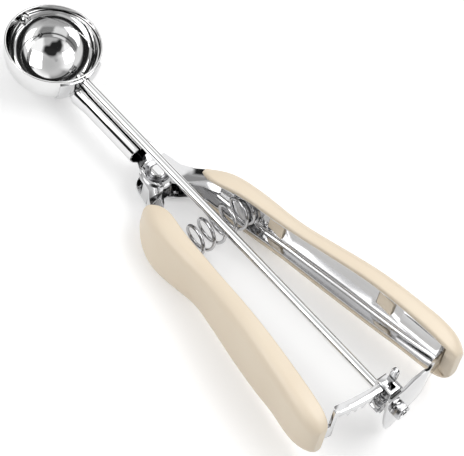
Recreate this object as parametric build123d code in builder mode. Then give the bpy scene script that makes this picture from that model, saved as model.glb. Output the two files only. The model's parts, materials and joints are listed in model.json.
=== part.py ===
"""Lever ice cream scoop: bowl, neck and fixed right handle, squeezing left handle, drive shaft and scraper.

Millimetres.  The origin is the centre of the bowl's mouth, +Z points out of the mouth,
the handles run towards -X and the squeezing handle is on the +Y side.
"""
import os
from math import asin, cos, degrees, pi, radians, sin, sqrt, tan

from build123d import *

os.makedirs("parts", exist_ok=True)

# ---------------------------------------------------------------- driving sizes
bowl_radius = 19.8          # outside of the bowl wall
bowl_wall = 0.8
lip_width = 0.4             # how far the rim lip stands out
lip_height = 1.4
lip_corner = 0.35

shaft_drop = 3.4            # drive shaft axis, and centre of the bowl's ball, below the mouth
shaft_radius = 1.95
journal_radius = 1.2        # front end of the shaft, through the bowl wall
journal_fit = 0.05
rear_fit = 0.06
shaft_start = 1.2           # gap from the bowl wall to the shaft's shoulder

blade_gap = 0.35            # scraper to bowl wall
blade_thickness = 0.6
blade_angle = 22.0          # width of the scraper, as an angle round the shaft
blade_above = 4.0           # part of that angle above the shaft at rest
hub_radius = 2.3
hub_length = 1.4
hub_gap = 0.7               # hub face to the bowl wall
scraper_pin_radius = 1.0
scraper_pin_head = 1.5
scraper_pin_head_height = 0.9
pin_fit = 0.08

saddle_thickness = 0.8
saddle_angle = 62.0         # how far the saddle wraps round the bowl
saddle_top = 1.6            # below the mouth
saddle_bottom = 17.0        # below the mouth
neck_radius = 4.8
neck_wall = 0.9
neck_drop = 11.25           # neck axis below the mouth
neck_gap = 8.6              # hinge axis to the back end of the neck tube
neck_slant = 2.6            # how much shorter the tube is on the squeezing lever's side
neck_flare_radius = 5.5
neck_flare_length = 7.0
seam_width = 0.8
seam_side = 1.3

pivot_reach = 66.8          # bowl centre to hinge axis
hinge_top = 11.2            # top of the frame's upper flange, below the mouth
hinge_height = 12.0         # outside height of the frame at the hinge
steel = 1.1                 # sheet thickness of both handle channels
flange_gap = 0.12           # lever flange to frame flange
rivet_radius = 2.2
rivet_fit = 0.06
rivet_head_radius = 3.2
rivet_head_height = 1.1
washer_radius = 5.0         # dished ring under the upper rivet head
washer_flat = 3.5           # radius of its flat middle
washer_thickness = 0.4
washer_dish = 0.8           # how far its edge stands up
nose_radius = 7.0           # round end of the squeezing lever
frame_nose_radius = 6.3     # rounding of the frame's flanges round the hinge

grip_start = 11.0           # hinge axis to the front of the grips
grip_length = 120.5         # of the squeezing handle's grip
grip_extra = 6.0            # how much longer the fixed handle's grip is
grip_wall = 1.9
grip_end_wall = 1.2
grip_fit = 0.05             # steel channel to plastic cover
grip_corner = 5.0
grip_lip_corner = 1.1
lip_inset = 0.5             # cover's open edge to the channel's
channel_back = 7.5          # back of the grips to the end of the steel channels
window_width = 8.0          # windows in the channel webs, filled by bosses of the covers
window_height = 8.0
window_shares = (0.286, 0.708)
window_drops = (11.0, 5.8)  # below the mouth
window_fit = 0.15
boss_proud = 0.4

module = 1.1                # gear tooth size
pinion_teeth = 11
pinion_width = 4.2
backlash = 0.30
tooth_height_factor = 0.85
rack_beyond = 1.0           # middle of the rack strip past the back of the squeezing handle's grip
rack_thickness = 1.4
rack_height = 5.5           # from the tooth tips to the top of the strip
rack_ledge = 1.9            # top flange of the rack, towards the bowl
rack_stop_height = 5.2      # upright stop at the free end of the rack
rack_stop_gap = 0.5         # stop to the yoke's strap at rest
rack_teeth = 7
rack_root_side = 27.5       # where the strip's root ends and its tab goes under the cover
rack_root_width = 2.0
rack_root_rise = 1.0        # root above the strip
rack_root_drop = 9.5        # bottom of the root, below the mouth
tab_length = 21.0           # tabs of the rack and the rear arm on the channel webs
tab_top = 1.7               # below the mouth
tab_bottom = 11.2

ear_thickness = 1.1
ear_gap = 0.9               # pinion side to each ear
ear_radius = 4.4            # ears round the shaft
strap_width = 4.6           # strap over the rack, from ear to ear
strap_side = 0.2            # middle plane to the strap
strap_gap = 0.3             # rack to strap
strap_bend = 1.0
strap_window = 3.0
arm_thickness = 1.3
arm_reach = 6.0             # past the shaft, towards the squeezing lever
arm_straight = 14.0         # flat part beside the shaft
arm_setback = 7.5           # back of the fixed grip to the arm's bend
arm_bend = 3.5              # radius of its bends
tongue_drop = 16.2          # end of the arm's tongue below the shaft
nut_width = 6.4             # across flats
nut_thickness = 3.4
nut_chamfer = 0.4
nut_gap = 0.1               # shaft washer to the rear arm
shaft_washer_thickness = 0.6
shaft_washer_radius = 3.3
shaft_tail = 0.7            # shaft standing out of the nut

spring_distance = 32.8      # hinge axis to spring
spring_drop = 12.5
spring_radius = 6.1         # middle of the wire
wire_radius = 0.75
spring_turns = 7
seat_radius = 4.4
seat_height = 2.6
seat_flange = 7.1
seat_flange_thickness = 0.5

# ---------------------------------------------------------------- derived places
inner_radius = bowl_radius - bowl_wall
shaft_z = -shaft_drop
hub_face = inner_radius - hub_gap
shoulder_x = -(bowl_radius + shaft_start)
neck_z = -neck_drop
pivot_x = -pivot_reach
neck_back = pivot_x + neck_gap
grip_length_right = grip_length + grip_extra
pinion_radius = module * pinion_teeth / 2
tooth_tip = module * tooth_height_factor
tooth_root = module * 1.2
rack_tip_z = shaft_z + pinion_radius - tooth_tip
rack_top_z = rack_tip_z + rack_height
rack_reach = grip_start + grip_length + rack_beyond
rack_inner = rack_reach - rack_thickness / 2
rack_outer = rack_reach + rack_thickness / 2
rack_x = pivot_x - rack_reach
pinion_front = rack_x + pinion_width / 2
pinion_back = rack_x - pinion_width / 2
front_ear_back = pinion_front + ear_gap
back_ear_front = pinion_back - ear_gap
arm_front = back_ear_front - ear_thickness
arm_back = arm_front - arm_thickness
washer_front = arm_back - nut_gap
nut_front = washer_front - shaft_washer_thickness
nut_back = nut_front - nut_thickness
shaft_back = nut_back - shaft_tail
frame_top = -hinge_top
frame_bottom = frame_top - hinge_height
lever_top = frame_top - steel - flange_gap
lever_bottom = frame_bottom + steel + flange_gap
spring_x = pivot_x - spring_distance
spring_z = -spring_drop
strap_z = rack_top_z + strap_gap
stop_side = strap_side - rack_stop_gap
stop_end = stop_side - rack_thickness
channel_row = 2                 # row of the section table where the channel's rounded part starts
block_half = grip_length / 2    # half size of the blanks that the outlines are cut from

# Channel outlines in front of the grips, from the hinge axis: plan of the web and of the open side,
# then the top and bottom edges.  nose is the round lug at the hinge.
frame_front = {
    "web": [(14.5, 4.9), (9.5, 7.0), (4.5, 8.6), (-2.3, 10.0), (-10.5, 16.0)],
    "opening": [(14.5, 1.5), (7.5, 0.5), (0.0, 0.0), (-4.5, 0.5), (-8.8, 3.2), (-12.8, 8.1), (-16.0, 11.6)],
    "top": [(14.5, frame_top + 3.2), (9.5, frame_top + 1.7), (6.0, frame_top), (-7.5, frame_top)],
    "bottom": [(14.5, frame_bottom + 5.5), (nose_radius + 3.5, frame_bottom + 1.6),
               (nose_radius + 0.8, frame_bottom), (-6.0, frame_bottom), (-12.0, frame_bottom + 2.2)],
    "nose": frame_nose_radius,
}
lever_front = {
    "web": [(0.0, nose_radius), (-4.4, 7.9), (-10.9, 13.2), (-13.5, 15.4)],
    "opening": [(0.0, 0.0), (-4.5, 0.5), (-7.3, 3.1), (-13.9, 8.7), (-16.5, 11.6)],
    "top": [(nose_radius, lever_top), (-7.5, lever_top)],
    "bottom": [(nose_radius, lever_bottom), (-6.0, lever_bottom), (-12.0, lever_bottom + 1.2)],
    "nose": nose_radius,
}

# Grip cross-sections along the handle: share of the grip's length, then the inner side, the outer
# side at the top and at the bottom, the bottom and the top (from the shaft's plane and the mouth).
grip_sections = [
    (0.000, 13.8, 17.0, 17.4, -19.2, -8.8),
    (0.025, 12.6, 19.2, 20.6, -21.7, -6.6),
    (0.060, 12.1, 20.9, 23.6, -22.8, -4.7),
    (0.145, 14.3, 22.8, 27.6, -23.2, -2.0),
    (0.225, 16.0, 24.0, 27.6, -22.2, -0.6),
    (0.290, 17.0, 24.8, 26.7, -21.0, 0.4),
    (0.350, 18.0, 25.8, 26.0, -20.2, 1.4),
    (0.425, 19.3, 27.2, 27.2, -19.8, 3.1),
    (0.500, 20.7, 28.9, 28.9, -19.6, 4.9),
    (0.580, 22.3, 30.9, 30.7, -19.5, 6.6),
    (0.660, 23.9, 32.9, 32.2, -19.2, 7.8),
    (0.735, 25.2, 34.6, 33.5, -18.6, 8.1),
    (0.805, 26.4, 36.1, 34.6, -17.8, 8.0),
    (0.910, 28.0, 37.8, 37.0, -17.0, 7.0),
    (0.960, 28.9, 37.6, 36.8, -16.0, 5.6),
    (0.985, 29.8, 36.6, 36.0, -14.8, 4.2),
    (1.000, 31.0, 35.0, 34.6, -12.6, 2.4),
]


def grip_x(share, length):
    """Place along X of a share of the grip's length."""
    return pivot_x - grip_start - share * length


def section_at(share):
    """Row of the grip's section table for any share of its length, held between its two ends."""
    share = min(max(share, 0.0), 1.0)
    for row_a, row_b in zip(grip_sections, grip_sections[1:]):
        if row_a[0] <= share <= row_b[0]:
            part_way = (share - row_a[0]) / (row_b[0] - row_a[0])
            return [a + (b - a) * part_way for a, b in zip(row_a, row_b)]


def section_face(x, inner, outer_top, outer_bottom, bottom, top, corner, lip_corner):
    """One rounded cross-section of a handle, standing across it."""
    width = min(outer_top, outer_bottom) - inner
    corner = min(corner, 0.45 * (top - bottom), 0.9 * (width - lip_corner))
    with BuildSketch(Plane.YZ.offset(x)) as face:
        with BuildLine():
            Polyline((inner, bottom), (outer_bottom, bottom), (outer_top, top), (inner, top), close=True)
        make_face()
        fillet(face.vertices().sort_by(Axis.X)[-2:], corner)
        if lip_corner:
            fillet(face.vertices().sort_by(Axis.X)[:2], lip_corner)
    return face.sketch


def grip_block(length):
    """Outside of a grip, on the +Y side, before it is hollowed."""
    with BuildPart() as block:
        sections = []
        for share, *sides in grip_sections:
            sections.append(section_face(grip_x(share, length), *sides, grip_corner, grip_lip_corner))
        loft(sections=sections)
    return block.part


def channel_block(length, front, end_gap, shrink=0.0, open_by=0.0):
    """Solid the shape of a handle channel, on the +Y side.

    front holds the plan and side outlines in front of the grip, measured from the hinge axis.
    shrink moves the web, the top and the bottom inwards, open_by moves the open side outwards.
    """
    end_share = 1 - (end_gap + shrink) / length
    rows = [row for row in grip_sections[channel_row:] if row[0] < end_share] + [section_at(end_share)]
    sections = []
    for share, inner, outer_top, outer_bottom, low, high in rows:
        web = min(outer_top, outer_bottom) - grip_wall - shrink
        sections.append(section_face(grip_x(share, length), inner + lip_inset - open_by, web, web,
                                     low + grip_wall + shrink, high - grip_wall - shrink,
                                     grip_corner - grip_wall - shrink, 0))
    share, inner, outer_top, outer_bottom, low, high = rows[0]
    join_x = grip_x(share, length)
    web = [(pivot_x + ahead, side) for ahead, side in front["web"]]
    web.append((join_x, min(outer_top, outer_bottom) - grip_wall))
    opening = [(pivot_x + ahead, side) for ahead, side in front["opening"]] + [(join_x, inner + lip_inset)]
    top = [(pivot_x + ahead, height) for ahead, height in front["top"]] + [(join_x, high - grip_wall)]
    bottom = [(pivot_x + ahead, height) for ahead, height in front["bottom"]] + [(join_x, low + grip_wall)]
    plan = [(x, y - shrink) for x, y in web] + [(x, y - open_by) for x, y in reversed(opening)]
    side = [(x, z - shrink) for x, z in top] + [(x, z + shrink) for x, z in reversed(bottom)]
    with BuildPart() as block:
        with BuildSketch(Plane.XY.offset(-block_half)):
            with BuildLine():
                Polyline(*plan, close=True)
            make_face()
            with Locations((pivot_x, 0)):
                Circle(front["nose"])
        extrude(amount=2 * block_half)
        with BuildSketch(Plane.XZ.offset(block_half)):
            with BuildLine():
                Polyline(*side, close=True)
            make_face()
        extrude(amount=-2 * block_half, mode=Mode.INTERSECT)
        loft(sections=sections, ruled=True)
    return block.part


def web_side(share):
    """Distance of the web's outer face from the middle plane, at a share of the grip's length."""
    row = section_at(share)
    return min(row[2], row[3]) - grip_wall


def side_at(x, length):
    """The same distance, at a place along X."""
    return web_side((pivot_x - grip_start - x) / length)


def window_boxes(length, size_cut, near, far):
    """Boxes through the web at the windows, near and far measured from the web's outer face."""
    with BuildPart() as boxes:
        for share, drop in zip(window_shares, window_drops):
            middle = web_side(share) + (near + far) / 2
            with Locations((grip_x(share, length), middle, -drop)):
                Box(window_width - size_cut, far - near, window_height - size_cut)
    return boxes.part


def make_channel(length, front, hole_radius):
    """Steel handle channel on the +Y side, open towards the middle."""
    with BuildPart() as channel:
        add(channel_block(length, front, channel_back))
        add(channel_block(length, front, grip_end_wall, steel, block_half), mode=Mode.SUBTRACT)
        add(window_boxes(length, 0, -3 * steel, steel), mode=Mode.SUBTRACT)
        with Locations((pivot_x, 0, (frame_top + frame_bottom) / 2)):
            Cylinder(hole_radius, 2 * hinge_height, mode=Mode.SUBTRACT)
    return channel.part


def make_grip(length, front):
    """Plastic cover on the +Y side: a trough round the channel, with two bosses in the web's windows."""
    cavity = channel_block(length, front, grip_end_wall, -grip_fit, block_half)
    bosses = window_boxes(length, 2 * window_fit, -steel - boss_proud, grip_wall / 2)
    return grip_block(length) - cavity + bosses


def make_seat(length, front):
    """Spring seat on the +Y side: a flange on the web with a round boss inside the coil."""
    with BuildPart() as seat:
        with BuildSketch(Plane.XZ.offset(-seat_face)):
            with Locations((spring_x, spring_z)):
                Circle(seat_flange)
        extrude(amount=-2 * seat_flange)
        with BuildSketch(Plane.XZ.offset(-seat_face)):
            with Locations((spring_x, spring_z)):
                Circle(seat_radius)
        extrude(amount=seat_height)
        add(channel_block(length, front, channel_back, steel, block_half), mode=Mode.INTERSECT)
    return seat.part


def save(part, name):
    """Label a finished piece and write its file."""
    part.label = name
    export_step(part, f"parts/{name}.step")


spring_web = web_side((spring_distance - seat_flange - grip_start) / grip_length_right)
seat_face = spring_web - steel - seat_flange_thickness

# ---------------------------------------------------------------- bowl
with BuildPart() as bowl:
    with BuildSketch(Plane.XZ):
        with BuildLine():
            outer_wall = Polyline((inner_radius, 0), (bowl_radius + lip_width, 0),
                                  (bowl_radius + lip_width, -lip_height), (bowl_radius, -lip_height),
                                  (bowl_radius, shaft_z))
            RadiusArc(outer_wall @ 1, (0, shaft_z - bowl_radius), bowl_radius)
            Line((0, shaft_z - bowl_radius), (0, shaft_z - inner_radius))
            inner_arc = RadiusArc((0, shaft_z - inner_radius), (inner_radius, shaft_z), -inner_radius)
            Line(inner_arc @ 1, outer_wall @ 0)
        make_face()
    revolve(axis=Axis.Z)
    lip_edges = bowl.edges().filter_by(GeomType.CIRCLE).group_by(SortBy.RADIUS)[-1]
    fillet(lip_edges, lip_corner)
    with BuildSketch(Plane.YZ.offset(-bowl_radius - 1)):
        with Locations((0, shaft_z)):
            Circle(journal_radius + journal_fit)
    extrude(amount=2 * bowl_wall + 1, mode=Mode.SUBTRACT)
    with BuildSketch(Plane.YZ.offset(bowl_radius + 1)):
        with Locations((0, shaft_z)):
            Circle(scraper_pin_radius)
    extrude(amount=-2 * bowl_wall - 1, mode=Mode.SUBTRACT)
save(bowl.part, "bowl")

# ---------------------------------------------------------------- scraper and its front pin
blade_radius = inner_radius - blade_gap
blade_tilt = radians(blade_above)
blade_plane = Plane(origin=(0, 0, shaft_z), x_dir=(1, 0, 0), z_dir=(0, -sin(blade_tilt), -cos(blade_tilt)))
shaft_line = Axis((0, 0, shaft_z), (1, 0, 0))
with BuildPart() as scraper_blade:
    with BuildSketch(blade_plane):
        Circle(blade_radius)
        Circle(blade_radius - blade_thickness, mode=Mode.SUBTRACT)
        with Locations((0, journal_radius - blade_radius)):
            Rectangle(2 * blade_radius, 2 * blade_radius, mode=Mode.SUBTRACT)
    revolve(axis=shaft_line, revolution_arc=blade_angle)
    for face_x, into in ((-hub_face, hub_length), (hub_face, -hub_length)):
        with BuildSketch(Plane.YZ.offset(face_x)):
            with Locations((0, shaft_z)):
                Circle(hub_radius)
        extrude(amount=into)
    with BuildSketch(Plane.YZ.offset(-bowl_radius)):
        with Locations((0, shaft_z)):
            Circle(journal_radius)
    extrude(amount=bowl_radius, mode=Mode.SUBTRACT)
    with BuildSketch(Plane.YZ):
        with Locations((0, shaft_z)):
            Circle(scraper_pin_radius + pin_fit)
    extrude(amount=bowl_radius, mode=Mode.SUBTRACT)
save(scraper_blade.part, "scraper_blade")

with BuildPart() as scraper_pin:
    with BuildSketch(Plane.YZ.offset(hub_face - hub_length - hub_gap)):
        with Locations((0, shaft_z)):
            Circle(scraper_pin_radius)
    extrude(amount=bowl_radius - hub_face + hub_length + hub_gap)
    with BuildSketch(Plane.YZ.offset(bowl_radius)):
        with Locations((0, shaft_z)):
            Circle(scraper_pin_head)
    extrude(amount=scraper_pin_head_height)
    fillet(scraper_pin.faces().sort_by(Axis.X)[-1].edges(), scraper_pin_head_height / 2)
save(scraper_pin.part, "scraper_pin")

# ---------------------------------------------------------------- saddle and neck
saddle_radius = bowl_radius + saddle_thickness
half_wrap = radians(saddle_angle / 2)
with BuildPart() as bowl_saddle:
    with Locations((0, 0, shaft_z)):
        Sphere(saddle_radius)
    with BuildSketch(Plane.XY.offset(shaft_z)):
        Circle(saddle_radius)
    extrude(amount=shaft_drop - saddle_top)
    with Locations((0, 0, shaft_z)):
        Sphere(bowl_radius, mode=Mode.SUBTRACT)
    with BuildSketch(Plane.XY.offset(shaft_z)):
        Circle(bowl_radius)
    extrude(amount=shaft_drop, mode=Mode.SUBTRACT)
    with BuildSketch(Plane.XY.offset(-saddle_bottom)):
        with BuildLine():
            Polyline((0, 0), (-block_half * cos(half_wrap), block_half * sin(half_wrap)),
                     (-block_half * cos(half_wrap), -block_half * sin(half_wrap)), close=True)
        make_face()
    extrude(amount=saddle_bottom - saddle_top, mode=Mode.INTERSECT)
    with BuildSketch(Plane.YZ.offset(-bowl_radius - saddle_thickness - 1)):
        with Locations((0, shaft_z)):
            Circle(shaft_radius + 2 * pin_fit)
    extrude(amount=saddle_radius, mode=Mode.SUBTRACT)
save(bowl_saddle.part, "bowl_saddle")

with BuildPart() as neck_tube:
    with BuildSketch(Plane.YZ.offset(neck_back)):
        with Locations((0, neck_z)):
            Circle(neck_radius)
    extrude(amount=-neck_back)
    with BuildSketch(Plane.YZ.offset(-bowl_radius - neck_flare_length)):
        with Locations((0, neck_z)):
            Circle(neck_radius)
    with BuildSketch(Plane.YZ.offset(-bowl_radius)):
        with Locations((0, neck_z)):
            Circle(neck_flare_radius)
    loft()
    with BuildSketch(Plane.YZ.offset(neck_back)):
        with Locations((0, neck_z)):
            Circle(neck_radius - neck_wall)
    extrude(amount=-neck_back, mode=Mode.SUBTRACT)
    with Locations((0, 0, shaft_z)):
        Sphere(saddle_radius, mode=Mode.SUBTRACT)
    with BuildSketch(Plane.XY.offset(neck_z)):
        with Locations((neck_back / 2, seam_side)):
            Rectangle(-neck_back, seam_width)
    extrude(amount=neck_flare_radius, mode=Mode.SUBTRACT)
    with BuildSketch(Plane.XY.offset(neck_z - neck_radius)):
        with BuildLine():
            Polyline((neck_back, -neck_radius), (neck_back, neck_radius),
                     (neck_back + neck_slant, neck_radius), close=True)
        make_face()
    extrude(amount=2 * neck_radius, mode=Mode.SUBTRACT)
save(neck_tube.part, "neck_tube")

# ---------------------------------------------------------------- right handle, part of the frame
with BuildPart() as frame_channel:
    add(mirror(make_channel(grip_length_right, frame_front, rivet_radius), about=Plane.XZ))
    with BuildSketch(Plane.YZ.offset(neck_back)):
        with Locations((0, neck_z)):
            Circle(neck_radius)
    extrude(amount=-neck_back, mode=Mode.SUBTRACT)
save(frame_channel.part, "frame_channel")

right_cover = mirror(make_grip(grip_length_right, frame_front), about=Plane.XZ)
with BuildPart() as grip_right:
    add(right_cover)
save(grip_right.part, "grip_right")

with BuildPart() as spring_seat_right:
    add(mirror(make_seat(grip_length_right, frame_front), about=Plane.XZ))
save(spring_seat_right.part, "spring_seat_right")

# ---------------------------------------------------------------- squeezing lever
with BuildPart() as lever_channel:
    add(make_channel(grip_length, lever_front, rivet_radius + rivet_fit))
save(lever_channel.part, "lever_channel")

left_cover = make_grip(grip_length, lever_front)
with BuildPart() as grip_left:
    add(left_cover)
save(grip_left.part, "grip_left")

with BuildPart() as spring_seat_left:
    add(make_seat(grip_length, lever_front))
save(spring_seat_left.part, "spring_seat_left")

# ---------------------------------------------------------------- hinge rivet and its ring
with BuildPart() as pivot_rivet:
    with BuildSketch(Plane.XY.offset(frame_bottom)):
        with Locations((pivot_x, 0)):
            Circle(rivet_radius)
    extrude(amount=hinge_height + washer_thickness)
    for face_z, out in ((frame_top + washer_thickness, 1), (frame_bottom, -1)):
        with BuildSketch(Plane.XY.offset(face_z)):
            with Locations((pivot_x, 0)):
                Circle(rivet_head_radius)
        extrude(amount=out * rivet_head_height)
    head_faces = [pivot_rivet.faces().sort_by(Axis.Z)[-1], pivot_rivet.faces().sort_by(Axis.Z)[0]]
    fillet([head_faces[0].edges()[0], head_faces[1].edges()[0]], 0.8 * rivet_head_height)
save(pivot_rivet.part, "pivot_rivet")

with BuildPart() as pivot_washer:
    with BuildSketch(Plane.XZ):
        with BuildLine():
            Polyline((rivet_radius, 0), (washer_flat, 0), (washer_radius, washer_dish),
                     (washer_radius, washer_dish + washer_thickness), (washer_flat, washer_thickness),
                     (rivet_radius, washer_thickness), close=True)
        make_face()
    revolve(axis=Axis.Z)
pivot_washer_placed = Location((pivot_x, 0, frame_top)) * pivot_washer.part
save(pivot_washer_placed, "pivot_washer")

# ---------------------------------------------------------------- rack on the squeezing lever
tooth_pitch = module * pi
pressure = tan(radians(20))
pitch_z = shaft_z + pinion_radius
rack_root_z = pitch_z + tooth_root
rack_end_x = rack_x
for step in range(3):
    rack_web = side_at(rack_end_x, grip_length) - steel
    rack_end_x = pivot_x - sqrt(rack_outer ** 2 - rack_web ** 2)


def rack_strip(near, far, first_side, last_side, bottom, top):
    """Piece of the curved strip, between two radii and two distances from the middle plane."""
    start = 180 - degrees(asin(last_side / rack_reach))
    sweep = degrees(asin(last_side / rack_reach)) - degrees(asin(first_side / rack_reach))
    with BuildPart() as strip:
        with BuildSketch(Plane.XY.offset(bottom)):
            with BuildLine():
                outer_arc = CenterArc((pivot_x, 0), far, start, sweep)
                inner_arc = CenterArc((pivot_x, 0), near, start, sweep)
                Line(outer_arc @ 0, inner_arc @ 0)
                Line(outer_arc @ 1, inner_arc @ 1)
            make_face()
        extrude(amount=top - bottom)
    return strip.part


def web_tab(length, thickness, bottom, top, back_x):
    """Straight tab on the inner face of a web, on the +Y side."""
    front_x = back_x + tab_length
    back_side = side_at(back_x, length) - steel
    front_side = side_at(front_x, length) - steel
    with BuildPart() as tab:
        with BuildSketch(Plane.XY.offset(bottom)):
            with BuildLine():
                Polyline((back_x, back_side), (front_x, front_side), (front_x, front_side - thickness),
                         (back_x, back_side - thickness), close=True)
            make_face()
        extrude(amount=top - bottom)
    return tab.part


ledge_width = rack_thickness + rack_ledge
with BuildPart() as rack:
    add(rack_strip(rack_inner, rack_outer, stop_end, rack_root_side, rack_root_z, rack_top_z))
    add(rack_strip(rack_inner - rack_ledge, rack_outer, stop_end, rack_root_side - rack_ledge,
                   rack_top_z - rack_thickness, rack_top_z))
    add(rack_strip(rack_inner, rack_outer, rack_root_side - rack_root_width, rack_root_side,
                   -rack_root_drop, rack_top_z + rack_root_rise))
    add(rack_strip(rack_inner, rack_outer, rack_root_side, rack_web, -rack_root_drop, -tab_top))
    with BuildSketch(Plane.XZ.offset(-stop_side)):
        with Locations((pivot_x - rack_outer + ledge_width / 2, rack_top_z + rack_stop_height / 2)):
            SlotOverall(rack_stop_height + ledge_width, ledge_width, rotation=90)
        with Locations((pivot_x - rack_outer + ledge_width / 2, rack_top_z - ledge_width / 2 - 0.1)):
            Rectangle(2 * ledge_width, ledge_width, mode=Mode.SUBTRACT)
    extrude(amount=rack_thickness)
    for tooth in range(rack_teeth):
        turn = tooth * tooth_pitch / rack_reach
        tooth_plane = Plane(origin=(pivot_x - rack_inner * cos(turn), rack_inner * sin(turn), pitch_z),
                            x_dir=(sin(turn), cos(turn), 0), z_dir=(-cos(turn), sin(turn), 0))
        half_tooth = tooth_pitch / 4 - backlash / 2
        root_half = half_tooth + tooth_root * pressure
        tip_half = half_tooth - tooth_tip * pressure
        with BuildSketch(tooth_plane):
            with BuildLine():
                Polyline((-root_half, -tooth_root), (root_half, -tooth_root), (tip_half, tooth_tip),
                         (-tip_half, tooth_tip), close=True)
            make_face()
        extrude(amount=rack_thickness)
    add(web_tab(grip_length, rack_thickness, -rack_root_drop, -tab_top, rack_end_x))
save(rack.part, "rack")

# ---------------------------------------------------------------- drive shaft and what turns with it
with BuildPart() as drive_shaft:
    with BuildSketch(Plane.YZ.offset(-hub_face + hub_length)):
        with Locations((0, shaft_z)):
            Circle(journal_radius)
    extrude(amount=shoulder_x + hub_face - hub_length)
    with BuildSketch(Plane.YZ.offset(shoulder_x)):
        with Locations((0, shaft_z)):
            Circle(shaft_radius)
    extrude(amount=shaft_back - shoulder_x)
    chamfer(drive_shaft.faces().sort_by(Axis.X)[0].edges(), shaft_tail / 2)
save(drive_shaft.part, "drive_shaft")

gap_half = pi / 2 / pinion_teeth
tooth_half = gap_half - backlash / 2 / pinion_radius
pinion_tip = pinion_radius + tooth_tip
pinion_root = pinion_radius - tooth_root
with BuildPart() as pinion:
    with BuildSketch(Plane.YZ.offset(pinion_back)):
        with Locations((0, shaft_z)):
            Circle(pinion_root)
        for tooth in range(pinion_teeth):
            middle = pi / 2 + (tooth + 0.5) * 2 * pi / pinion_teeth
            corners = []
            for radius, half in ((pinion_root - 0.4, 0.95), (pinion_root, 0.95), (pinion_radius, 1.0),
                                 (pinion_tip, 0.52)):
                corners.append((radius, half * tooth_half))
            flank_a = [(r * cos(middle - h), shaft_z + r * sin(middle - h)) for r, h in corners]
            flank_b = [(r * cos(middle + h), shaft_z + r * sin(middle + h)) for r, h in reversed(corners)]
            with BuildLine():
                Polyline(*flank_a, *flank_b, close=True)
            make_face()
        with Locations((0, shaft_z)):
            Circle(shaft_radius, mode=Mode.SUBTRACT)
    extrude(amount=pinion_width)
save(pinion.part, "pinion")

with BuildPart() as shaft_washer:
    with BuildSketch(Plane.YZ.offset(nut_front)):
        with Locations((0, shaft_z)):
            Circle(shaft_washer_radius)
            Circle(shaft_radius, mode=Mode.SUBTRACT)
    extrude(amount=shaft_washer_thickness)
save(shaft_washer.part, "shaft_washer")

with BuildPart() as shaft_nut:
    with BuildSketch(Plane.YZ.offset(nut_back)):
        with Locations((0, shaft_z)):
            RegularPolygon(nut_width / 2, 6, major_radius=False)
    extrude(amount=nut_thickness)
    chamfer(shaft_nut.faces().sort_by(Axis.X)[0].edges(), nut_chamfer)
    with BuildSketch(Plane.YZ.offset(nut_back)):
        with Locations((0, shaft_z)):
            Circle(shaft_radius)
    extrude(amount=nut_thickness, mode=Mode.SUBTRACT)
save(shaft_nut.part, "shaft_nut")

# ---------------------------------------------------------------- yoke and rear arm
yoke_front = front_ear_back + ear_thickness
strap_middle = strap_side + strap_width / 2
strap_top = strap_z + ear_thickness
with BuildPart() as yoke:
    for ear_x in (front_ear_back, arm_front):
        with BuildSketch(Plane.YZ.offset(ear_x)):
            with BuildLine():
                Polyline((strap_side, strap_top), (strap_side + strap_width, strap_top),
                         (ear_radius, shaft_z), (-ear_radius, shaft_z), close=True)
            make_face()
            with Locations((0, shaft_z)):
                Circle(ear_radius)
                Circle(shaft_radius + rear_fit, mode=Mode.SUBTRACT)
        extrude(amount=ear_thickness)
    with BuildSketch(Plane.YZ.offset(arm_front)):
        with Locations((strap_middle, strap_z + ear_thickness / 2)):
            Rectangle(strap_width, ear_thickness)
    extrude(amount=yoke_front - arm_front)
    fillet(yoke.faces().sort_by(Axis.Z)[-1].edges().sort_by(Axis.X)[-1], strap_bend)
    with Locations((arm_front + ear_thickness + strap_window / 2, strap_middle, strap_z)):
        Box(strap_window, strap_window, 4 * ear_thickness, mode=Mode.SUBTRACT)
save(yoke.part, "yoke")

arm_end_x = grip_x(1, grip_length_right) + arm_setback
arm_web = side_at(arm_end_x, grip_length_right) - steel - arm_thickness / 2
arm_tip_web = side_at(arm_end_x + tab_length, grip_length_right) - steel - arm_thickness / 2
arm_middle = (arm_front + arm_back) / 2
tongue_z = shaft_z - tongue_drop
arm_edge = [(-arm_reach, shaft_z + 8.0), (2.2, shaft_z + 9.9), (6.2, shaft_z + 13.1), (11.5, shaft_z + 14.0),
            (20.0, shaft_z + 9.7), (arm_web - 3.0, -tab_top), (arm_web + 5.0, -tab_top),
            (arm_web + 5.0, -tab_bottom), (arm_web - 1.5, -tab_bottom), (20.0, shaft_z - 2.3),
            (13.5, shaft_z - 5.0), (7.2, shaft_z - 11.0), (4.4, tongue_z + 2.4), (1.6, tongue_z),
            (-1.0, tongue_z), (-3.1, tongue_z + 5.0), (-4.7, shaft_z - 4.4)]
with BuildPart() as rear_arm:
    with BuildSketch(Plane.XY.offset(-block_half)):
        with BuildLine():
            FilletPolyline((arm_middle, -arm_reach), (arm_middle, arm_straight), (arm_end_x, arm_web),
                           (arm_end_x + tab_length, arm_tip_web), radius=arm_bend)
        trace(line_width=arm_thickness)
    extrude(amount=2 * block_half)
    with BuildSketch(Plane.YZ.offset(-4 * block_half)):
        with BuildLine():
            Polyline(*arm_edge, close=True)
        make_face()
    extrude(amount=4 * block_half, mode=Mode.INTERSECT)
    with BuildSketch(Plane.YZ.offset(arm_back)):
        with Locations((0, shaft_z)):
            Circle(shaft_radius + rear_fit)
    extrude(amount=arm_thickness, mode=Mode.SUBTRACT)
rear_arm_mirrored = mirror(rear_arm.part, about=Plane.XZ)
save(rear_arm_mirrored, "rear_arm")

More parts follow.
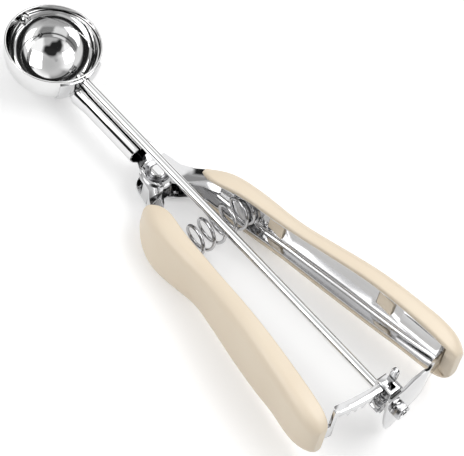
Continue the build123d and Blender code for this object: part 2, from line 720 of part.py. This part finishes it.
# ---------------------------------------------------------------- return spring
spring_length = 2 * (seat_face - wire_radius)
with BuildPart() as return_spring:
    with BuildLine() as coil:
        Helix(spring_length / spring_turns, spring_length, spring_radius,
              center=(spring_x, -spring_length / 2, spring_z), direction=(0, 1, 0))
    with BuildSketch(Plane(origin=coil.line @ 0, z_dir=coil.line % 0)):
        Circle(wire_radius)
    sweep()
save(return_spring.part, "return_spring")
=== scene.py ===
import json
import math
import bmesh
import bpy
from mathutils import Matrix, Vector


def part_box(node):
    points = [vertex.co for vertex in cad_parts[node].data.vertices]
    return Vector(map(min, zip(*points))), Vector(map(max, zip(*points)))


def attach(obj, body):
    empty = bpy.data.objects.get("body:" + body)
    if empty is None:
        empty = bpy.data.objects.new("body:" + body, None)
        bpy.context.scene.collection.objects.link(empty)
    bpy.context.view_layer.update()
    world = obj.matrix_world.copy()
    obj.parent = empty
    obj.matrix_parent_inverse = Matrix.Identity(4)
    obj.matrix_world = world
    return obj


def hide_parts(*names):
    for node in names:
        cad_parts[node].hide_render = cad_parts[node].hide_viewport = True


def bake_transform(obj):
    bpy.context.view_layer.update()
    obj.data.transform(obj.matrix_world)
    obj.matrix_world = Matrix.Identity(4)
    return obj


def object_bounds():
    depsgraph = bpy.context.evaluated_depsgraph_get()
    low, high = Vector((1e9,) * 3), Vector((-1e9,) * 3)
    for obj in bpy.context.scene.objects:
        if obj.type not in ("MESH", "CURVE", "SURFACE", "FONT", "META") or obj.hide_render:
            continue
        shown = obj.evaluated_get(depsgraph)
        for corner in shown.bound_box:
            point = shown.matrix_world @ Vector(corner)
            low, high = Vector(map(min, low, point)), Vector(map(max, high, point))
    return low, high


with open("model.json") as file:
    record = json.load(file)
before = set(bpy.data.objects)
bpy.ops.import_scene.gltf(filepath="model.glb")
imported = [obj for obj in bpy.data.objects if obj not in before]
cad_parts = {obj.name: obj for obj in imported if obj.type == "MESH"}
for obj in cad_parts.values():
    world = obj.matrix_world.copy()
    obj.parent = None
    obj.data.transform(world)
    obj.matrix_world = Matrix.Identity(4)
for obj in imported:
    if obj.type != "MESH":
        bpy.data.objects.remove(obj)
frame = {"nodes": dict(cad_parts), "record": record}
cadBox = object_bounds()
nodes = frame["nodes"]
mm = 0.001
bpy.ops.object.select_all(action="DESELECT")
print("frame loaded:", len(nodes), "nodes")

# angles in degrees, the lens and its sensor in mm, the rest in metres
camera = {
    "azimuth": 215.6,
    "elevation": 54.24,
    "roll": -16.02,
    "distance": 1.1624,
    "lens": 232.8,
    "sensor": 36,
    "aim": (-0.10729, -0.00235, -0.00355),    # the point in the middle of the picture
    "sees": (0.01, 10),                       # nearest and farthest distance
}


def setCamera():
    turn, lift, roll = (math.radians(camera[key]) for key in ("azimuth", "elevation", "roll"))
    back = Vector((math.sin(turn) * math.cos(lift), -math.cos(turn) * math.cos(lift), math.sin(lift)))
    right = (-back).cross(Vector((0, 0, 1))).normalized()
    down = (-back).cross(right)
    rightRolled = right * math.cos(roll) + down * math.sin(roll)
    downRolled = down * math.cos(roll) - right * math.sin(roll)
    data = bpy.data.cameras.new("camera")
    data.lens = camera["lens"]
    data.sensor_width = camera["sensor"]
    data.clip_start, data.clip_end = camera["sees"]
    obj = bpy.data.objects.new("camera", data)
    bpy.context.scene.collection.objects.link(obj)
    axes = Matrix((rightRolled, -downRolled, back)).transposed().to_4x4()
    obj.matrix_world = Matrix.Translation(Vector(camera["aim"]) + back * camera["distance"]) @ axes
    bpy.context.scene.camera = obj


setCamera()
bpy.context.scene.view_settings.view_transform = "Standard"
print("camera done")


def newMaterial(name):
    mat = bpy.data.materials.new(name)
    mat.use_nodes = True
    return mat, mat.node_tree, mat.node_tree.nodes["Principled BSDF"]


def addNoise(tree, vector, scale, detail):
    noise = tree.nodes.new("ShaderNodeTexNoise")
    noise.inputs["Scale"].default_value = scale
    noise.inputs["Detail"].default_value = detail
    tree.links.new(vector, noise.inputs["Vector"])
    return noise


def tintBy(tree, shader, noise, first, second):
    tint = tree.nodes.new("ShaderNodeMix")
    tint.data_type = "RGBA"
    tint.inputs["A"].default_value = (*first, 1)
    tint.inputs["B"].default_value = (*second, 1)
    tree.links.new(noise.outputs["Fac"], tint.inputs["Factor"])
    tree.links.new(tint.outputs["Result"], shader.inputs["Base Color"])


def bumpBy(tree, shader, noise, height, strength):
    bump = tree.nodes.new("ShaderNodeBump")
    bump.inputs["Distance"].default_value = height
    bump.inputs["Strength"].default_value = strength
    tree.links.new(noise.outputs["Fac"], bump.inputs["Height"])
    tree.links.new(bump.outputs["Normal"], shader.inputs["Normal"])


# colour and what is left of its brightness where it is worn, roughness from low to high over the grain,
# fineness of the grain, its scale along the handle (under 1 is drawn out), and its bump in metres
steelFinishes = {
    "polished": {"colour": (0.77, 0.77, 0.77), "worn": 0.93, "low": 0.02, "high": 0.07,
                 "grain": 260.0, "stretch": 1.0, "bump": 0.000008},
    "rod": {"colour": (0.84, 0.84, 0.84), "worn": 0.95, "low": 0.04, "high": 0.10,
            "grain": 700.0, "stretch": 1.0, "bump": 0.000012},
    "pressed": {"colour": (0.69, 0.69, 0.695), "worn": 0.9, "low": 0.05, "high": 0.15,
                "grain": 420.0, "stretch": 0.12, "bump": 0.000012},
    "wire": {"colour": (0.60, 0.60, 0.61), "worn": 0.85, "low": 0.04, "high": 0.10,
             "grain": 500.0, "stretch": 1.0, "bump": 0.00001},
    # painted shade: the washer around the pivot rivet is coloured dark steel to stand in for the shade in
    # its dish
    "paintedShadeDish": {"colour": (0.34, 0.34, 0.35), "worn": 0.8, "low": 0.08, "high": 0.16,
               "grain": 700.0, "stretch": 1.0, "bump": 0.00001},
    "cut": {"colour": (0.56, 0.56, 0.57), "worn": 0.8, "low": 0.14, "high": 0.30,
            "grain": 900.0, "stretch": 0.3, "bump": 0.00002},
}
steelGrain = {"detail": 5.0, "bumpStrength": 0.5}     # the same in all the steel


def steelMaterial(name, look):
    mat, tree, shader = newMaterial(name)
    shader.inputs["Metallic"].default_value = 1.0
    coords = tree.nodes.new("ShaderNodeTexCoord")
    spread = tree.nodes.new("ShaderNodeMapping")
    spread.inputs["Scale"].default_value = (look["stretch"], 1, 1)
    tree.links.new(coords.outputs["Object"], spread.inputs["Vector"])
    grain = addNoise(tree, spread.outputs["Vector"], look["grain"], steelGrain["detail"])
    rough = tree.nodes.new("ShaderNodeMapRange")
    rough.inputs["To Min"].default_value = look["low"]
    rough.inputs["To Max"].default_value = look["high"]
    tree.links.new(grain.outputs["Fac"], rough.inputs["Value"])
    tree.links.new(rough.outputs["Result"], shader.inputs["Roughness"])
    tintBy(tree, shader, grain, look["colour"], [look["worn"] * c for c in look["colour"]])
    bumpBy(tree, shader, grain, look["bump"], steelGrain["bumpStrength"])
    return mat


# the cloud is the soft change of colour over a cover, the grain its fine moulded surface
creamPlastic = {
    "colour": (0.865, 0.76, 0.605), "shade": (0.83, 0.705, 0.545), "roughness": 0.38,
    "cloud": 60.0, "cloudDetail": 3.0, "grain": 1800.0, "grainDetail": 2.0,
    "bump": 0.00003, "bumpStrength": 0.25,
}


def plasticMaterial(name, look):
    mat, tree, shader = newMaterial(name)
    shader.inputs["Roughness"].default_value = look["roughness"]
    coords = tree.nodes.new("ShaderNodeTexCoord")
    cloud = addNoise(tree, coords.outputs["Object"], look["cloud"], look["cloudDetail"])
    tintBy(tree, shader, cloud, look["colour"], look["shade"])
    grain = addNoise(tree, coords.outputs["Object"], look["grain"], look["grainDetail"])
    bumpBy(tree, shader, grain, look["bump"], look["bumpStrength"])
    return mat


# painted shade inside the neck: the bore is coloured near black where the enclosed tube is in shade; its
# axis below the mouth and its radius in mm
paintedBoreShade = {"axisDrop": 11.25, "radius": 4.3, "colour": (0.03, 0.03, 0.032)}


def paintBoreShade(mat):
    tree = mat.node_tree
    shader = tree.nodes["Principled BSDF"]
    coords = tree.nodes.new("ShaderNodeTexCoord")
    offAxis = tree.nodes.new("ShaderNodeVectorMath")        # way from the tube's axis to the surface
    offAxis.operation = "MULTIPLY_ADD"
    offAxis.inputs[1].default_value = (0, 1, 1)
    offAxis.inputs[2].default_value = (0, 0, paintedBoreShade["axisDrop"] * mm)
    tree.links.new(coords.outputs["Object"], offAxis.inputs[0])
    distance = tree.nodes.new("ShaderNodeVectorMath")
    distance.operation = "LENGTH"
    tree.links.new(offAxis.outputs["Vector"], distance.inputs[0])
    inside = tree.nodes.new("ShaderNodeMath")
    inside.operation = "LESS_THAN"
    inside.inputs[1].default_value = paintedBoreShade["radius"] * mm
    tree.links.new(distance.outputs["Value"], inside.inputs[0])
    # inside the bore's radius the steel's colour gives way to the painted shade
    mixed = tree.nodes.new("ShaderNodeMix")
    mixed.data_type = "RGBA"
    mixed.inputs["B"].default_value = (*paintedBoreShade["colour"], 1)
    tree.links.new(inside.outputs["Value"], mixed.inputs["Factor"])
    tree.links.new(shader.inputs["Base Color"].links[0].from_socket, mixed.inputs["A"])
    tree.links.new(mixed.outputs["Result"], shader.inputs["Base Color"])


finish = {name: steelMaterial(name + "Steel", look) for name, look in steelFinishes.items()}
finish["cream"] = plasticMaterial("creamPlastic", creamPlastic)
# the neck's steel carries painted shade in its bore
finish["neck"] = steelMaterial("neckSteel", steelFinishes["polished"])
paintBoreShade(finish["neck"])

# pieces that aren't named here are of pressed steel
finishOf = {
    "bowl": "polished", "neck_tube": "neck", "scraper_blade": "polished", "scraper_pin": "polished",
    # the pivot washer's dark steel is painted shade
    "pivot_rivet": "polished", "pivot_washer": "paintedShadeDish", "drive_shaft": "rod", "return_spring": "wire",
    "pinion": "cut", "shaft_nut": "cut", "spring_seat_left": "cut", "spring_seat_right": "cut",
    "grip_left": "cream", "grip_right": "cream",
}


def dress(piece, node):
    piece.data.materials.clear()
    piece.data.materials.append(finish[finishOf.get(node, "pressed")])


for node in nodes:
    dress(nodes[node], node)
print("materials done:", len(finish))

bodyOf = {node: body for body, members in frame["record"]["behaviour"]["bodies"].items() for node in members}


# a piece takes its node's place, body and finish; one made with rides off rides on no body
def finishPiece(piece, node, rides=True):
    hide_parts(node)
    if rides:
        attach(piece, bodyOf[node])
    dress(piece, node)


def selectOnly(piece):
    bpy.ops.object.select_all(action="DESELECT")
    piece.select_set(True)
    bpy.context.view_layer.objects.active = piece


def applyModifier(piece, kind, **values):
    bpy.context.view_layer.objects.active = piece
    modifier = piece.modifiers.new(kind.lower(), kind)
    for key, value in values.items():
        setattr(modifier, key, value)
    bpy.ops.object.modifier_apply(modifier=modifier.name)


def smoothByAngle(piece, degrees):
    selectOnly(piece)
    bpy.ops.object.shade_smooth_by_angle(angle=math.radians(degrees))
    piece.select_set(False)


# edge rounding of each piece (mm), its segments, and the angle from which an edge is rounded
rounded = {
    "grip_left": (0.7, 4, 40), "grip_right": (0.7, 4, 40),
    "frame_channel": (0.28, 3, 25), "lever_channel": (0.28, 3, 25), "rear_arm": (0.3, 3, 30),
    "rack": (0.2, 2, 35), "yoke": (0.25, 3, 30), "bowl_saddle": (0.25, 3, 30), "neck_tube": (0.2, 2, 35),
    "shaft_nut": (0.15, 2, 25), "pinion": (0.12, 2, 30), "pivot_washer": (0.12, 2, 25),
    "shaft_washer": (0.1, 2, 30), "spring_seat_left": (0.2, 2, 35), "spring_seat_right": (0.2, 2, 35),
    "scraper_blade": (0.12, 2, 30),
}
# corners closer than "merge" (mm) are joined and edges flatter than "flat" (degrees) dissolved before the
# rounding, and edges under "smooth" (degrees) are shaded smooth after it
meshCare = {"merge": 0.005, "flat": 0.6, "smooth": 32}
# in this cover the wall behind the channel's end comes forward (mm). Its faces lie near the back and look
# forward, at least as squarely as "facing", where 1 is fully square
endPocket = {"node": "grip_right", "forward": 4.0, "near": 3.0, "facing": 0.9}


def closeEndPocket(piece):
    bpy.ops.mesh.select_mode(type="FACE")
    bpy.ops.mesh.select_all(action="DESELECT")
    mesh = bmesh.from_edit_mesh(piece.data)
    back = min(vertex.co.x for vertex in mesh.verts)
    limit = back + endPocket["near"] * mm
    for face in mesh.faces:
        face.select_set(face.normal.x > endPocket["facing"] and face.calc_center_median().x < limit)
    bmesh.update_edit_mesh(piece.data)
    bpy.ops.transform.translate(value=(endPocket["forward"] * mm, 0, 0))


def roundedCopy(node, width, segments, angle):
    piece = bpy.data.objects.new(node + "Rounded", nodes[node].data.copy())
    bpy.context.scene.collection.objects.link(piece)
    selectOnly(piece)
    bpy.ops.object.mode_set(mode="EDIT")
    bpy.ops.mesh.select_all(action="SELECT")
    bpy.ops.mesh.remove_doubles(threshold=meshCare["merge"] * mm)
    bpy.ops.mesh.dissolve_limited(angle_limit=math.radians(meshCare["flat"]))
    if node == endPocket["node"]:
        closeEndPocket(piece)
    bpy.ops.object.mode_set(mode="OBJECT")
    applyModifier(piece, "BEVEL", width=width * mm, segments=segments, limit_method="ANGLE",
                  angle_limit=math.radians(angle), use_clamp_overlap=True, miter_outer="MITER_ARC")
    smoothByAngle(piece, meshCare["smooth"])
    finishPiece(piece, node)


for node, (width, segments, angle) in rounded.items():
    roundedCopy(node, width, segments, angle)
print("rounded pieces done:", len(rounded))

# the wire's radius and the length of each end that keeps to its seat in mm, the rise of a closed end turn
# in wire radii, and the smoothing angle in degrees
spring = {"turns": 7.6, "closedTurns": 0.9, "closedRise": 2.1, "wire": 0.75, "seatedEnd": 3.0,
          "stepsPerTurn": 40, "ringResolution": 4, "smooth": 60}


def coilPoints(low, high):
    wire = spring["wire"] * mm
    middleX, middleZ = (low[0] + high[0]) / 2, (low[2] + high[2]) / 2
    radius = (high[2] - low[2]) / 2 - wire
    first, last = low[1] + wire, high[1] - wire
    closed, turns = spring["closedTurns"], spring["turns"]
    closedRise = closed * spring["closedRise"] * wire       # of each end, where wire lies on wire
    openRise = (last - first) - 2 * closedRise
    steps = int(turns * spring["stepsPerTurn"])
    points = []
    for step in range(steps + 1):
        turn = turns * step / steps
        openDone = min(max(turn - closed, 0), turns - 2 * closed)
        closedDone = min(turn, closed) + max(turn - (turns - closed), 0)
        y = first + closedRise * closedDone / closed + openRise * openDone / (turns - 2 * closed)
        around = 2 * math.pi * turn
        points.append((middleX + radius * math.cos(around), y, middleZ + radius * math.sin(around)))
    return points


def addSpring():
    low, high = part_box("return_spring")
    points = coilPoints(low, high)
    curve = bpy.data.curves.new("springWire", "CURVE")
    curve.dimensions = "3D"
    curve.bevel_depth = spring["wire"] * mm
    curve.bevel_resolution = spring["ringResolution"]
    curve.use_fill_caps = True
    line = curve.splines.new("POLY")
    line.points.add(len(points) - 1)
    for linePoint, point in zip(line.points, points):
        linePoint.co = (*point, 1)
    piece = bpy.data.objects.new("springCoil", curve)
    bpy.context.scene.collection.objects.link(piece)
    selectOnly(piece)
    bpy.ops.object.convert(target="MESH")
    piece = bpy.context.object
    smoothByAngle(piece, spring["smooth"])
    finishPiece(piece, "return_spring", rides=False)
    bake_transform(piece)


addSpring()
print("spring done")

# mm and degrees. The node's lip stands "lipOut" past the wall. This shell has the wall alone, with a plain
# rim whose edges are rounded by "edge". Corners within "level" of the highest one are its top ring
bowlLook = {"segments": 128, "rings": 64, "wall": 0.8, "lipOut": 0.4, "level": 0.01,
            "edge": 0.22, "edgeSegments": 3, "edgeAngle": 40, "smooth": 35}


# the top ring of the half-ball goes up to the mouth, at height 0, and so makes the straight wall
def raiseTopRing(piece):
    bpy.ops.mesh.select_mode(type="VERT")
    mesh = bmesh.from_edit_mesh(piece.data)
    highest = max(vertex.co.z for vertex in mesh.verts)
    for vertex in mesh.verts:
        vertex.select_set(abs(vertex.co.z - highest) < bowlLook["level"] * mm)
    bmesh.update_edit_mesh(piece.data)
    bpy.ops.transform.translate(value=(0, 0, -highest))


def addBowl():
    low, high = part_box("bowl")
    outer = (high[0] - low[0]) / 2 - bowlLook["lipOut"] * mm
    ballZ = low[2] + outer
    bpy.ops.mesh.primitive_uv_sphere_add(segments=bowlLook["segments"], ring_count=bowlLook["rings"],
                                         radius=outer, location=(0, 0, ballZ))
    piece = bpy.context.object
    piece.name = "bowlShell"
    bpy.ops.object.transform_apply(location=True, rotation=False, scale=False)
    bpy.ops.object.mode_set(mode="EDIT")
    bpy.ops.mesh.select_all(action="SELECT")
    bpy.ops.mesh.bisect(plane_co=(0, 0, ballZ), plane_no=(0, 0, 1), clear_outer=True)
    bpy.ops.mesh.select_all(action="DESELECT")
    raiseTopRing(piece)
    bpy.ops.mesh.select_all(action="SELECT")
    bpy.ops.mesh.normals_make_consistent(inside=False)
    bpy.ops.object.mode_set(mode="OBJECT")
    applyModifier(piece, "SOLIDIFY", thickness=bowlLook["wall"] * mm, offset=-1.0)
    applyModifier(piece, "BEVEL", width=bowlLook["edge"] * mm, segments=bowlLook["edgeSegments"],
                  limit_method="ANGLE", angle_limit=math.radians(bowlLook["edgeAngle"]))
    smoothByAngle(piece, bowlLook["smooth"])
    finishPiece(piece, "bowl")


addBowl()
print("bowl done")

# the sky is dark up to the tops of the low walls, and bright above them in panels with darker gaps;
# each stop is a place and its brightness, with heights as sines and panels as shares of a turn
studio = {
    "middle": (-0.1, 0, 0),                   # of the floor, and what the lamps point at
    "floorSize": 6.0, "floorGap": 0.0003, "floorColour": (0.84, 0.84, 0.84), "floorRoughness": 0.9,
    "floorLift": 0.3,
    "heights": [(0.0, 0.02), (0.36, 0.02), (0.46, 1.25), (0.80, 1.25), (0.93, 0.7), (1.0, 0.6)],
    "panels": [(0.0, 1.0), (0.05, 1.0), (0.08, 0.3), (0.25, 0.3), (0.28, 1.0), (0.42, 1.0), (0.45, 0.3),
               (0.56, 0.3), (0.59, 1.0), (0.74, 1.0), (0.77, 0.45), (0.90, 0.45), (0.93, 1.0), (1.0, 1.0)],
    "poleFade": [(0.0, 1.0), (0.78, 1.0), (0.93, 0.0), (1.0, 0.0)],     # how much the panels show
    "ripple": 0.22,                           # how much the panels' edges wander, and how finely
    "rippleScale": 2.2, "rippleDetail": 1.0,
    "darkSpot": (-0.34, 0.475, 0.811),        # direction of a dark patch, and its soft edge as cosines
    "spotEdge": [(0.0, 1.0), (0.80, 1.0), (0.85, 0.04), (1.0, 0.04)],
    "keyLamp": {"place": (-0.45, -0.45, 0.95), "size": (0.8, 0.6), "power": 5.2},
    "fillLamp": {"place": (0.35, 0.75, 0.7), "size": (0.6, 0.6), "power": 2.9},
}


def setFloor():
    low = cadBox[0].z - studio["floorGap"]
    middleX, middleY = studio["middle"][:2]
    bpy.ops.mesh.primitive_plane_add(size=studio["floorSize"], location=(middleX, middleY, low))
    floor = bpy.context.object
    floor.name = "floor"
    mat, tree, shader = newMaterial("floorWhite")
    shader.inputs["Base Color"].default_value = (*studio["floorColour"], 1)
    shader.inputs["Roughness"].default_value = studio["floorRoughness"]
    shader.inputs["Emission Color"].default_value = (1, 1, 1, 1)
    path = tree.nodes.new("ShaderNodeLightPath")
    seen = tree.nodes.new("ShaderNodeMath")                 # lifted to white for the camera and in the steel
    seen.operation = "MAXIMUM"
    tree.links.new(path.outputs["Is Camera Ray"], seen.inputs[0])
    tree.links.new(path.outputs["Is Glossy Ray"], seen.inputs[1])
    lift = tree.nodes.new("ShaderNodeMath")
    lift.operation = "MULTIPLY"
    lift.inputs[1].default_value = studio["floorLift"]
    tree.links.new(seen.outputs["Value"], lift.inputs[0])
    tree.links.new(lift.outputs["Value"], shader.inputs["Emission Strength"])
    floor.data.materials.append(mat)


def addRamp(tree, stops, source):
    ramp = tree.nodes.new("ShaderNodeValToRGB")
    elements = ramp.color_ramp.elements
    while len(elements) < len(stops):
        elements.new(0.5)
    for element, (place, grey) in zip(elements, stops):
        element.position = place
        element.color = (grey, grey, grey, 1)
    tree.links.new(source, ramp.inputs["Fac"])
    return ramp.outputs["Color"]


def multiply(tree, first, second, share=None):
    both = tree.nodes.new("ShaderNodeMix")
    both.data_type = "RGBA"
    both.blend_type = "MULTIPLY"
    both.inputs["Factor"].default_value = 1.0
    if share:
        tree.links.new(share, both.inputs["Factor"])
    tree.links.new(first, both.inputs["A"])
    tree.links.new(second, both.inputs["B"])
    return both.outputs["Result"]


def setWorld():
    world = bpy.data.worlds.new("studioWorld")
    bpy.context.scene.world = world
    world.use_nodes = True
    tree = world.node_tree
    direction = tree.nodes.new("ShaderNodeTexCoord").outputs["Generated"]
    split = tree.nodes.new("ShaderNodeSeparateXYZ")
    tree.links.new(direction, split.inputs["Vector"])
    heights = addRamp(tree, studio["heights"], split.outputs["Z"])
    ripple = addNoise(tree, direction, studio["rippleScale"], studio["rippleDetail"])
    bent = tree.nodes.new("ShaderNodeMix")
    bent.data_type = "VECTOR"
    bent.inputs["Factor"].default_value = studio["ripple"]
    tree.links.new(direction, bent.inputs["A"])
    tree.links.new(ripple.outputs["Color"], bent.inputs["B"])
    around = tree.nodes.new("ShaderNodeTexGradient")
    around.gradient_type = "RADIAL"
    tree.links.new(bent.outputs["Result"], around.inputs["Vector"])
    panels = addRamp(tree, studio["panels"], around.outputs["Fac"])
    nearness = tree.nodes.new("ShaderNodeVectorMath")
    nearness.operation = "DOT_PRODUCT"
    nearness.inputs[1].default_value = studio["darkSpot"]
    tree.links.new(bent.outputs["Result"], nearness.inputs[0])
    spot = addRamp(tree, studio["spotEdge"], nearness.outputs["Value"])
    fade = addRamp(tree, studio["poleFade"], split.outputs["Z"])
    sky = multiply(tree, multiply(tree, heights, panels, fade), spot)
    path = tree.nodes.new("ShaderNodeLightPath")
    seen = tree.nodes.new("ShaderNodeMix")                  # the camera itself sees plain white
    seen.data_type = "RGBA"
    seen.inputs["B"].default_value = (1, 1, 1, 1)
    tree.links.new(path.outputs["Is Camera Ray"], seen.inputs["Factor"])
    tree.links.new(sky, seen.inputs["A"])
    tree.links.new(seen.outputs["Result"], tree.nodes["Background"].inputs["Color"])


def addLamp(name):
    place = Vector(studio[name]["place"])
    data = bpy.data.lights.new(name, "AREA")
    data.shape = "RECTANGLE"
    data.size, data.size_y = studio[name]["size"]
    data.energy = studio[name]["power"]
    obj = bpy.data.objects.new(name, data)
    bpy.context.scene.collection.objects.link(obj)
    obj.location = place
    obj.rotation_mode = "QUATERNION"
    obj.rotation_quaternion = (Vector(studio["middle"]) - place).to_track_quat("-Z", "Y")


setFloor()
setWorld()
addLamp("keyLamp")
addLamp("fillLamp")
print("studio done")

print("scene done")
